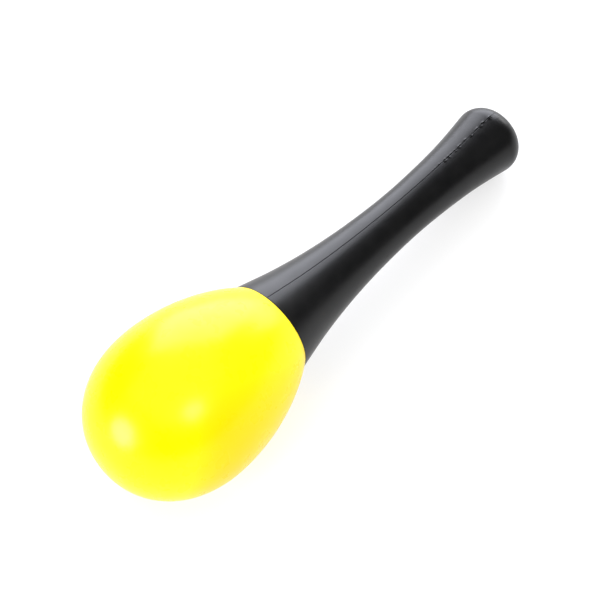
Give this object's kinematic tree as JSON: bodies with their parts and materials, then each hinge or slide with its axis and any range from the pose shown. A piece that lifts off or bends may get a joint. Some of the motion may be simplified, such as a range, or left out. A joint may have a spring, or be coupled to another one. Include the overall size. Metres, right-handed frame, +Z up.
{
  "type": "egg shaker",
  "caption": "Hand shaker with a glossy yellow plastic egg on a waisted black two-part plastic handle, with loose pellets inside, lying on its side.",
  "frame": {"origin": "on the table's surface, at the middle of the object's box as it lies on its side", "axes": "+Z up, +X from the egg toward the butt of the handle, and the plane y = 0 is the joint between the handle halves; the object's own axis drops 6.1 degrees toward the butt"},
  "size_m": [0.1522, 0.045, 0.0452],
  "materials": {
    "egg": "satin gloss moulded plastic",
    "handle": "satin moulded plastic",
    "plug": "plain moulded plastic",
    "pellets": "tumbled steel shot"
  },
  "bodies": {
    "shaker": {"egg_shell": "egg", "neck_plug": "plug", "handle_left_half": "handle", "handle_right_half": "handle"},
    "pellet_01": {"pellet_01": "pellets"},
    "pellet_02": {"pellet_02": "pellets"},
    "pellet_03": {"pellet_03": "pellets"},
    "pellet_04": {"pellet_04": "pellets"},
    "pellet_05": {"pellet_05": "pellets"},
    "pellet_06": {"pellet_06": "pellets"},
    "pellet_07": {"pellet_07": "pellets"},
    "pellet_08": {"pellet_08": "pellets"},
    "pellet_09": {"pellet_09": "pellets"},
    "pellet_10": {"pellet_10": "pellets"},
    "pellet_11": {"pellet_11": "pellets"},
    "pellet_12": {"pellet_12": "pellets"},
    "pellet_13": {"pellet_13": "pellets"},
    "pellet_14": {"pellet_14": "pellets"},
    "pellet_15": {"pellet_15": "pellets"},
    "pellet_16": {"pellet_16": "pellets"},
    "pellet_17": {"pellet_17": "pellets"},
    "pellet_18": {"pellet_18": "pellets"},
    "pellet_19": {"pellet_19": "pellets"},
    "pellet_20": {"pellet_20": "pellets"},
    "pellet_21": {"pellet_21": "pellets"},
    "pellet_22": {"pellet_22": "pellets"},
    "pellet_23": {"pellet_23": "pellets"},
    "pellet_24": {"pellet_24": "pellets"}
  },
  "joints": [
    {"name": "pellet_01_travel", "type": "slide", "parent": "shaker", "child": "pellet_01", "axis": [0, 0, 1], "range_m": [0, 0.03688]},
    {"name": "pellet_02_travel", "type": "slide", "parent": "shaker", "child": "pellet_02", "axis": [0, 0, 1], "range_m": [0, 0.03811]},
    {"name": "pellet_03_travel", "type": "slide", "parent": "shaker", "child": "pellet_03", "axis": [0, 0, 1], "range_m": [0, 0.03811]},
    {"name": "pellet_04_travel", "type": "slide", "parent": "shaker", "child": "pellet_04", "axis": [0, 0, 1], "range_m": [0, 0.03688]},
    {"name": "pellet_05_travel", "type": "slide", "parent": "shaker", "child": "pellet_05", "axis": [0, 0, 1], "range_m": [0, 0.03603]},
    {"name": "pellet_06_travel", "type": "slide", "parent": "shaker", "child": "pellet_06", "axis": [0, 0, 1], "range_m": [0, 0.03786]},
    {"name": "pellet_07_travel", "type": "slide", "parent": "shaker", "child": "pellet_07", "axis": [0, 0, 1], "range_m": [0, 0.03847]},
    {"name": "pellet_08_travel", "type": "slide", "parent": "shaker", "child": "pellet_08", "axis": [0, 0, 1], "range_m": [0, 0.03786]},
    {"name": "pellet_09_travel", "type": "slide", "parent": "shaker", "child": "pellet_09", "axis": [0, 0, 1], "range_m": [0, 0.03603]},
    {"name": "pellet_10_travel", "type": "slide", "parent": "shaker", "child": "pellet_10", "axis": [0, 0, 1], "range_m": [0, 0.0344]},
    {"name": "pellet_11_travel", "type": "slide", "parent": "shaker", "child": "pellet_11", "axis": [0, 0, 1], "range_m": [0, 0.03685]},
    {"name": "pellet_12_travel", "type": "slide", "parent": "shaker", "child": "pellet_12", "axis": [0, 0, 1], "range_m": [0, 0.0381]},
    {"name": "pellet_13_travel", "type": "slide", "parent": "shaker", "child": "pellet_13", "axis": [0, 0, 1], "range_m": [0, 0.0381]},
    {"name": "pellet_14_travel", "type": "slide", "parent": "shaker", "child": "pellet_14", "axis": [0, 0, 1], "range_m": [0, 0.03685]},
    {"name": "pellet_15_travel", "type": "slide", "parent": "shaker", "child": "pellet_15", "axis": [0, 0, 1], "range_m": [0, 0.0344]},
    {"name": "pellet_16_travel", "type": "slide", "parent": "shaker", "child": "pellet_16", "axis": [0, 0, 1], "range_m": [0, 0.03514]},
    {"name": "pellet_17_travel", "type": "slide", "parent": "shaker", "child": "pellet_17", "axis": [0, 0, 1], "range_m": [0, 0.03703]},
    {"name": "pellet_18_travel", "type": "slide", "parent": "shaker", "child": "pellet_18", "axis": [0, 0, 1], "range_m": [0, 0.03768]},
    {"name": "pellet_19_travel", "type": "slide", "parent": "shaker", "child": "pellet_19", "axis": [0, 0, 1], "range_m": [0, 0.03703]},
    {"name": "pellet_20_travel", "type": "slide", "parent": "shaker", "child": "pellet_20", "axis": [0, 0, 1], "range_m": [0, 0.03514]},
    {"name": "pellet_21_travel", "type": "slide", "parent": "shaker", "child": "pellet_21", "axis": [0, 0, 1], "range_m": [0, 0.03528]},
    {"name": "pellet_22_travel", "type": "slide", "parent": "shaker", "child": "pellet_22", "axis": [0, 0, 1], "range_m": [0, 0.03659]},
    {"name": "pellet_23_travel", "type": "slide", "parent": "shaker", "child": "pellet_23", "axis": [0, 0, 1], "range_m": [0, 0.03659]},
    {"name": "pellet_24_travel", "type": "slide", "parent": "shaker", "child": "pellet_24", "axis": [0, 0, 1], "range_m": [0, 0.03528]}
  ],
  "couplings": [
    {"joint": "pellet_01_travel", "follows": "pellet_07_travel", "ratio": 0.9585},
    {"joint": "pellet_02_travel", "follows": "pellet_07_travel", "ratio": 0.9903},
    {"joint": "pellet_03_travel", "follows": "pellet_07_travel", "ratio": 0.9903},
    {"joint": "pellet_04_travel", "follows": "pellet_07_travel", "ratio": 0.9585},
    {"joint": "pellet_05_travel", "follows": "pellet_07_travel", "ratio": 0.9363},
    {"joint": "pellet_06_travel", "follows": "pellet_07_travel", "ratio": 0.9839},
    {"joint": "pellet_08_travel", "follows": "pellet_07_travel", "ratio": 0.9839},
    {"joint": "pellet_09_travel", "follows": "pellet_07_travel", "ratio": 0.9363},
    {"joint": "pellet_10_travel", "follows": "pellet_07_travel", "ratio": 0.894},
    {"joint": "pellet_11_travel", "follows": "pellet_07_travel", "ratio": 0.9577},
    {"joint": "pellet_12_travel", "follows": "pellet_07_travel", "ratio": 0.9901},
    {"joint": "pellet_13_travel", "follows": "pellet_07_travel", "ratio": 0.9901},
    {"joint": "pellet_14_travel", "follows": "pellet_07_travel", "ratio": 0.9577},
    {"joint": "pellet_15_travel", "follows": "pellet_07_travel", "ratio": 0.894},
    {"joint": "pellet_16_travel", "follows": "pellet_07_travel", "ratio": 0.9131},
    {"joint": "pellet_17_travel", "follows": "pellet_07_travel", "ratio": 0.9624},
    {"joint": "pellet_18_travel", "follows": "pellet_07_travel", "ratio": 0.9791},
    {"joint": "pellet_19_travel", "follows": "pellet_07_travel", "ratio": 0.9624},
    {"joint": "pellet_20_travel", "follows": "pellet_07_travel", "ratio": 0.9131},
    {"joint": "pellet_21_travel", "follows": "pellet_07_travel", "ratio": 0.9168},
    {"joint": "pellet_22_travel", "follows": "pellet_07_travel", "ratio": 0.9509},
    {"joint": "pellet_23_travel", "follows": "pellet_07_travel", "ratio": 0.9509},
    {"joint": "pellet_24_travel", "follows": "pellet_07_travel", "ratio": 0.9168}
  ]
}
